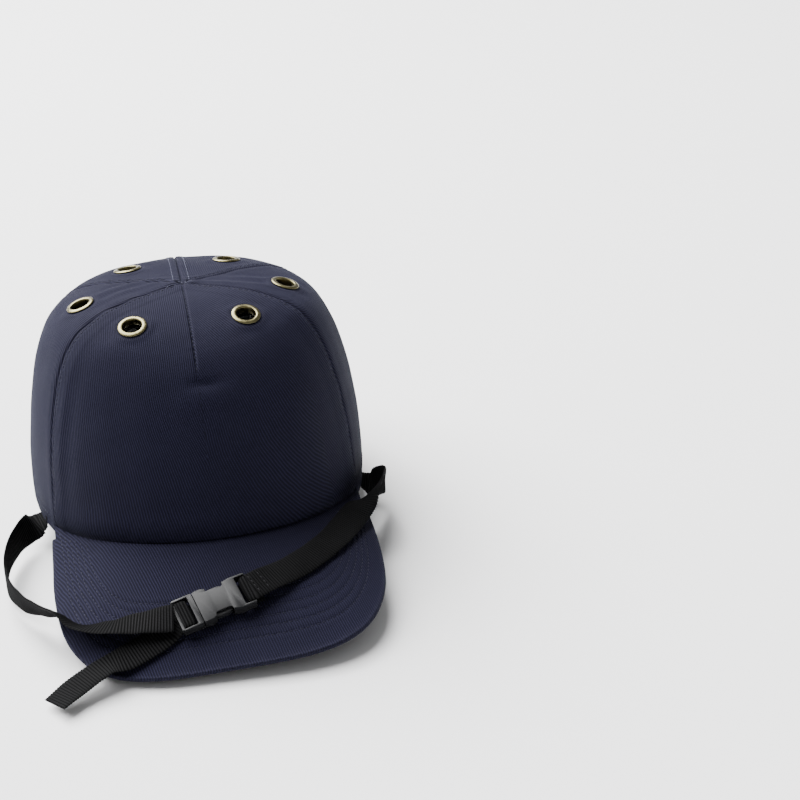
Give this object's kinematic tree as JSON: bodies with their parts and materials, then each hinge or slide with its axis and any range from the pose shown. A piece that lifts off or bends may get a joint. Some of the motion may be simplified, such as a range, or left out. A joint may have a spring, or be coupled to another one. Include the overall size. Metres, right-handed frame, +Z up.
{
  "type": "bump cap",
  "caption": "Soft five-panel cap with a rigid inner shell, foam pad, stitched visor, vent eyelets, hook-and-loop rear strap and a chin strap with a side-release buckle.",
  "frame": {"origin": "centre of the head opening, on the rim plane midway between front and rear and between the sides", "axes": "+Z up and -Y to the front, where the visor is; +X is the wearer's left; the rim plane leans 5.7 degrees about X, front up, as the cap settles on a table"},
  "size_m": [0.211, 0.2938, 0.1322],
  "materials": {
    "navy_twill": "matt cotton twill",
    "black_abs": "glossy moulded shell",
    "black_foam": "matt closed-cell foam",
    "black_band": "matt knitted sweatband",
    "black_webbing": "ribbed webbing",
    "buckle_plastic": "moulded, semi-matt",
    "brass": "pale antique brass",
    "visor_board": "plain board",
    "hook_loop": "hook and loop tape"
  },
  "bodies": {
    "cap": {"front_panel": "navy_twill", "side_panel_left": "navy_twill", "side_panel_right": "navy_twill", "back_panel_left": "navy_twill", "back_panel_right": "navy_twill", "inner_shell": "black_abs", "foam_pad": "black_foam", "sweatband": "black_band", "visor_top_cover": "navy_twill", "visor_board": "visor_board", "visor_under_cover": "navy_twill", "rear_strap": "navy_twill", "loop_patch": "hook_loop", "rear_ring": "buckle_plastic", "ring_tab": "navy_twill", "rear_opening_binding": "navy_twill", "eyelet_front_left": "brass", "eyelet_front_right": "brass", "eyelet_side_left": "brass", "eyelet_side_right": "brass", "eyelet_rear_left": "brass", "eyelet_rear_right": "brass", "washer_front_left": "brass", "washer_front_right": "brass", "washer_side_left": "brass", "washer_side_right": "brass", "washer_rear_left": "brass", "washer_rear_right": "brass"},
    "chin_strap": {"chin_strap_left": "black_webbing", "chin_strap_right": "black_webbing", "buckle_socket": "buckle_plastic"},
    "buckle_plug": {"buckle_plug": "buckle_plastic"},
    "prong_left": {"prong_left": "buckle_plastic"},
    "prong_right": {"prong_right": "buckle_plastic"},
    "rear_flap": {"rear_flap": "navy_twill", "hook_patch": "hook_loop"}
  },
  "joints": [
    {"name": "chin_strap_swing", "type": "hinge", "parent": "cap", "child": "chin_strap", "pos_m": [0, -0.02378, 0.00338], "axis": [-1, 0, 0], "range_deg": [0, 32]},
    {"name": "buckle_release", "type": "slide", "parent": "chin_strap", "child": "buckle_plug", "axis": [-0.9631, -0.2261, -0.1463], "range_m": [0, 0.02], "deforming": ["chin_strap_right"]},
    {"name": "prong_left_squeeze", "type": "hinge", "parent": "buckle_plug", "child": "prong_left", "pos_m": [-0.01519, -0.13784, 0.01422], "axis": [0.0542, 0.3693, -0.9277], "range_deg": [0, 8], "stiffness_Nm_per_rad": 0.02},
    {"name": "prong_right_squeeze", "type": "hinge", "parent": "buckle_plug", "child": "prong_right", "pos_m": [-0.0115, -0.15046, 0.00941], "axis": [-0.0542, -0.3693, 0.9277], "range_deg": [0, 8], "stiffness_Nm_per_rad": 0.02},
    {"name": "rear_flap_peel", "type": "hinge", "parent": "cap", "child": "rear_flap", "pos_m": [0.02019, 0.10527, 0.00064], "axis": [0, -0.0993, -0.9951], "range_deg": [0, 110]}
  ]
}
